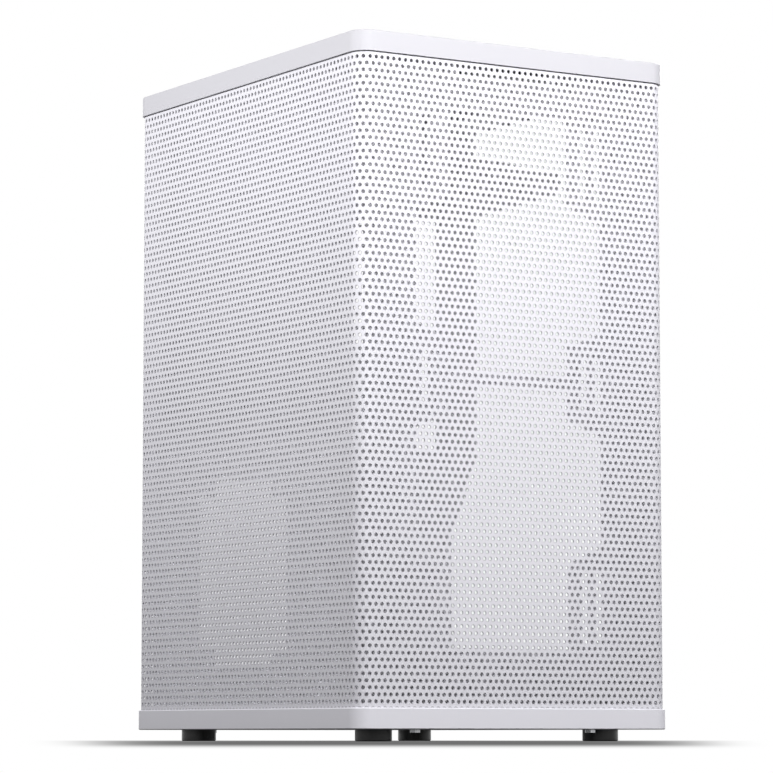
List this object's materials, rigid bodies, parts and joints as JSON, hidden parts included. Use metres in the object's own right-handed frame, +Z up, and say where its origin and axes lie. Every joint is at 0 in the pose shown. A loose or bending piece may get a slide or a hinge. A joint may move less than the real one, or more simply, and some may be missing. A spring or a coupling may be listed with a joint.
{
  "type": "desktop computer tower",
  "caption": "White upright desktop tower chassis with a wrap-around perforated shell, clear side glass, lift-off top and round rubber feet.",
  "frame": {"origin": "on the floor, under the middle of the case", "axes": "+X to the right across the front, +Y from the front to the rear, +Z up"},
  "size_m": [0.214, 0.27, 0.4009],
  "materials": {
    "white_steel": "fine white powder coat",
    "chassis_steel": "matt white powder coat",
    "dark_steel": "black coat",
    "zinc_screw": "zinc plate",
    "black_nylon": "moulded",
    "white_nylon": "moulded",
    "clear_glass": "clear tempered glass",
    "foot_rubber": "soft sheen",
    "brass_standoff": "bare",
    "circuit_board": "solder mask",
    "port_metal": "plated",
    "button_white": "semi-gloss"
  },
  "bodies": {
    "chassis": {"base_tray": "white_steel", "feet": "foot_rubber", "foot_screws": "zinc_screw", "seam_screws": "zinc_screw", "cover_sockets": "white_nylon", "mesh_shell": "white_steel", "glass_sockets": "white_nylon", "front_fan_panel": "chassis_steel", "motherboard_tray": "chassis_steel", "standoffs": "brass_standoff", "rear_panel": "chassis_steel", "rear_grille": "chassis_steel", "psu_frame": "chassis_steel", "psu_frame_screws": "zinc_screw", "slot_cover_1": "chassis_steel", "slot_cover_2": "chassis_steel", "slot_ledge": "chassis_steel", "slot_screws": "zinc_screw", "right_upright": "chassis_steel", "top_deck": "chassis_steel", "port_housing": "black_nylon", "port_board": "circuit_board", "usb_a_port": "port_metal", "usb_c_port": "port_metal", "audio_jack": "black_nylon", "power_switch": "black_nylon", "ear_screws": "zinc_screw", "drive_plate": "chassis_steel"},
    "cover": {"top_cover": "white_steel", "cover_studs": "zinc_screw"},
    "side_glass": {"glass_panel": "clear_glass", "glass_brackets": "dark_steel", "glass_studs": "zinc_screw"},
    "power_button": {"power_button": "button_white"}
  },
  "joints": [
    {"name": "cover_lift", "type": "slide", "parent": "chassis", "child": "cover", "axis": [0, 0, 1], "range_m": [0, 0.1]},
    {"name": "glass_pull", "type": "slide", "parent": "chassis", "child": "side_glass", "axis": [1, 0, 0], "range_m": [0, 0.1]},
    {"name": "button_press", "type": "slide", "parent": "chassis", "child": "power_button", "axis": [0, 0, -1], "range_m": [0, 0.0015], "stiffness_N_per_m": 800}
  ]
}
